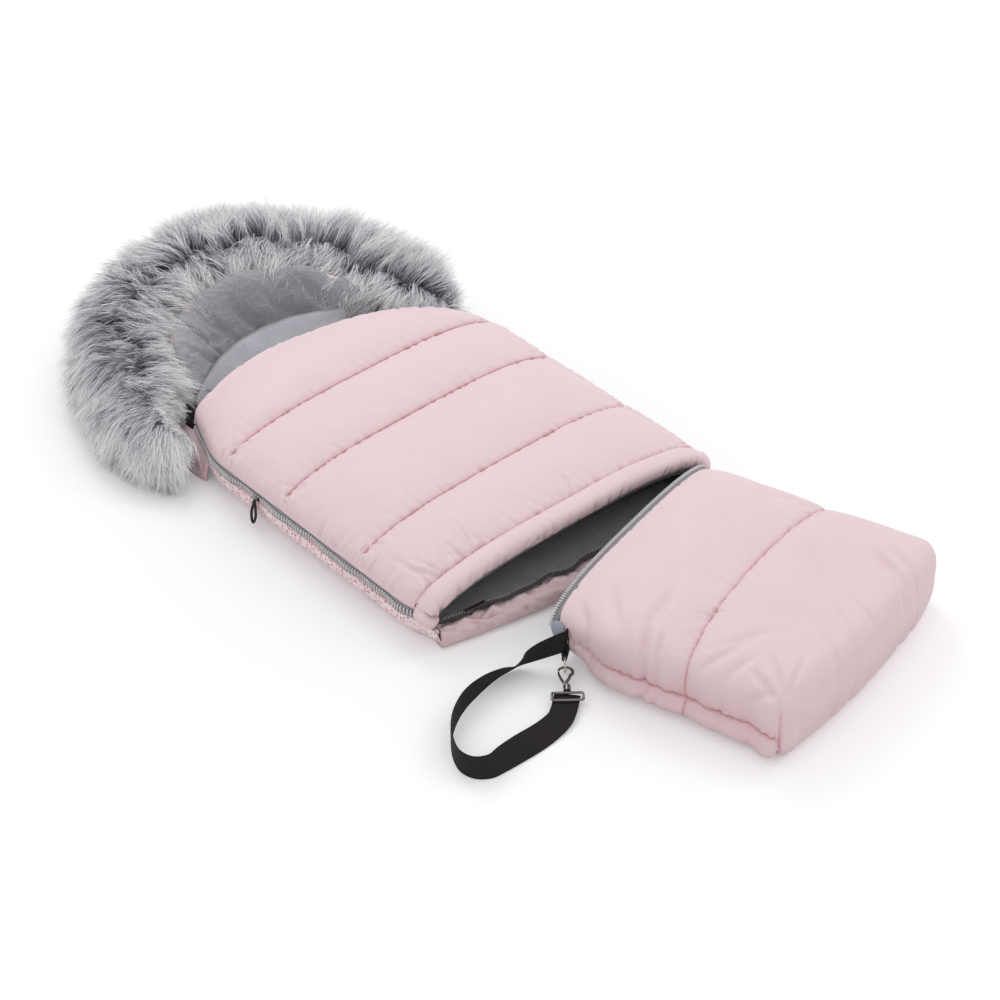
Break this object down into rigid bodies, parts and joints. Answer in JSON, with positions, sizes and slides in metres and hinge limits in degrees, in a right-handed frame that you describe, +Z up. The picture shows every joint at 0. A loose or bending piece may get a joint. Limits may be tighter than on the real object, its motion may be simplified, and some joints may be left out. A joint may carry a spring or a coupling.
{
  "type": "stroller footmuff",
  "caption": "Padded pushchair footmuff with a quilted zip-off cover, a fur-trimmed hood, a zip-on foot bag and a webbing strap with a swivel snap hook.",
  "frame": {"origin": "centre of the flat underside of the back panel", "axes": "+Y to the head end, +X to the side the foot bag is joined on, +Z up off the floor"},
  "size_m": [0.6047, 1.2632, 0.1033],
  "materials": {
    "pink_shell": "satin pale pink woven nylon",
    "pink_mesh": "dotted pale pink mesh",
    "grey_fleece": "brushed mid-grey fleece",
    "grey_minky": "soft grey plush",
    "faux_fur": "long grey fur with pale tips",
    "zip_grey": "woven mauve-grey zip tape",
    "zip_dark": "dark grey moulded teeth",
    "pale_tab": "pale blue-grey tab",
    "black_webbing": "matte black webbing",
    "black_cord": "round black cord",
    "gunmetal": "plated gunmetal",
    "light_nickel": "bright nickel plate"
  },
  "bodies": {
    "muff_base": {"base_shell": "pink_shell", "base_lining": "grey_fleece", "near_side_band": "pink_mesh", "far_side_band": "pink_mesh", "mouth_lip": "pink_shell", "mouth_rim": "pink_shell", "cover_foot_panel": "pink_shell", "cover_foot_lining": "grey_fleece", "near_zip_base_tape": "zip_grey", "far_zip_base_tape": "zip_grey", "near_zip_foot_tape": "zip_grey", "far_zip_foot_tape": "zip_grey", "near_zip_top_stop": "gunmetal", "far_zip_top_stop": "gunmetal", "mouth_zip_lip_half": "zip_dark", "mouth_zip_rim_half": "zip_grey", "near_fur_end": "faux_fur", "far_fur_end": "faux_fur", "corner_label_tab": "black_webbing"},
    "cover": {"cover_main_panel": "pink_shell", "cover_main_lining": "grey_fleece", "near_zip_cover_tape": "zip_grey", "far_zip_cover_tape": "zip_grey"},
    "hood": {"hood_shell": "pink_shell", "hood_lining": "grey_minky", "fur_trim": "faux_fur"},
    "foot_bag": {"foot_bag_shell": "pink_shell", "foot_bag_lining": "grey_fleece", "foot_bag_zip_half": "zip_grey", "zip_end_tab": "pale_tab", "corner_zip_box": "pale_tab", "ring_tab": "black_webbing", "strap_anchor": "black_webbing"},
    "carry_strap": {"strap_webbing": "black_webbing", "strap_loop": "gunmetal", "strap_ring": "light_nickel"},
    "snap_hook": {"hook_body": "gunmetal"},
    "hook_lever": {"hook_gate": "gunmetal"},
    "near_slider": {"near_zip_slider": "gunmetal"},
    "near_puller": {"near_zip_puller": "black_cord"},
    "far_slider": {"far_zip_slider": "gunmetal"},
    "far_puller": {"far_zip_puller": "black_cord"},
    "mouth_slider": {"mouth_zip_slider": "gunmetal"},
    "mouth_pull": {"mouth_zip_pull": "gunmetal"}
  },
  "joints": [
    {"name": "cover_fold", "type": "hinge", "parent": "muff_base", "child": "cover", "pos_m": [0, -0.127, 0.0945], "axis": [0.9971, 0.0755, 0], "range_deg": [0, 75]},
    {"name": "hood_lift", "type": "hinge", "parent": "muff_base", "child": "hood", "pos_m": [0, 0.28, 0.041], "axis": [1, 0, 0], "range_deg": [0, 60]},
    {"name": "bag_swing", "type": "hinge", "parent": "muff_base", "child": "foot_bag", "pos_m": [0.2144, -0.268, 0], "axis": [0, 0, 1], "range_deg": [-13, 45]},
    {"name": "strap_turn", "type": "hinge", "parent": "foot_bag", "child": "carry_strap", "pos_m": [-0.12595, -0.39299, 0.0096], "axis": [0, 0, 1], "range_deg": [-45, 13]},
    {"name": "hook_swivel", "type": "hinge", "parent": "carry_strap", "child": "snap_hook", "pos_m": [-0.12595, -0.39299, 0.0096], "axis": [-0.6157, -0.788, 0], "range_deg": [-30, 30]},
    {"name": "lever_spring", "type": "hinge", "parent": "snap_hook", "child": "hook_lever", "pos_m": [-0.15334, -0.4226, 0.0096], "axis": [0, 0, -1], "range_deg": [0, 25], "stiffness_Nm_per_rad": 0.02, "springref_deg": -11.46},
    {"name": "near_slider_run", "type": "slide", "parent": "muff_base", "child": "near_slider", "axis": [0, 1, 0], "range_m": [-0.255, 0.07]},
    {"name": "near_puller_swing", "type": "hinge", "parent": "near_slider", "child": "near_puller", "pos_m": [-0.2359, 0.05, 0.0396], "axis": [0, 1, 0], "range_deg": [0, 150]},
    {"name": "far_slider_run", "type": "slide", "parent": "muff_base", "child": "far_slider", "axis": [0, 1, 0], "range_m": [-0.255, 0.07]},
    {"name": "far_puller_swing", "type": "hinge", "parent": "far_slider", "child": "far_puller", "pos_m": [0.2359, 0.05, 0.0396], "axis": [0, -1, 0], "range_deg": [0, 150]},
    {"name": "mouth_slider_run", "type": "slide", "parent": "muff_base", "child": "mouth_slider", "axis": [0.993, -0.118, 0], "range_m": [0, 0.05]},
    {"name": "mouth_pull_swing", "type": "hinge", "parent": "mouth_slider", "child": "mouth_pull", "pos_m": [-0.16234, -0.27408, 0.0313], "axis": [0, -1, 0], "range_deg": [0, 90]}
  ],
  "couplings": [
    {"joint": "strap_turn", "follows": "bag_swing", "ratio": -1}
  ]
}
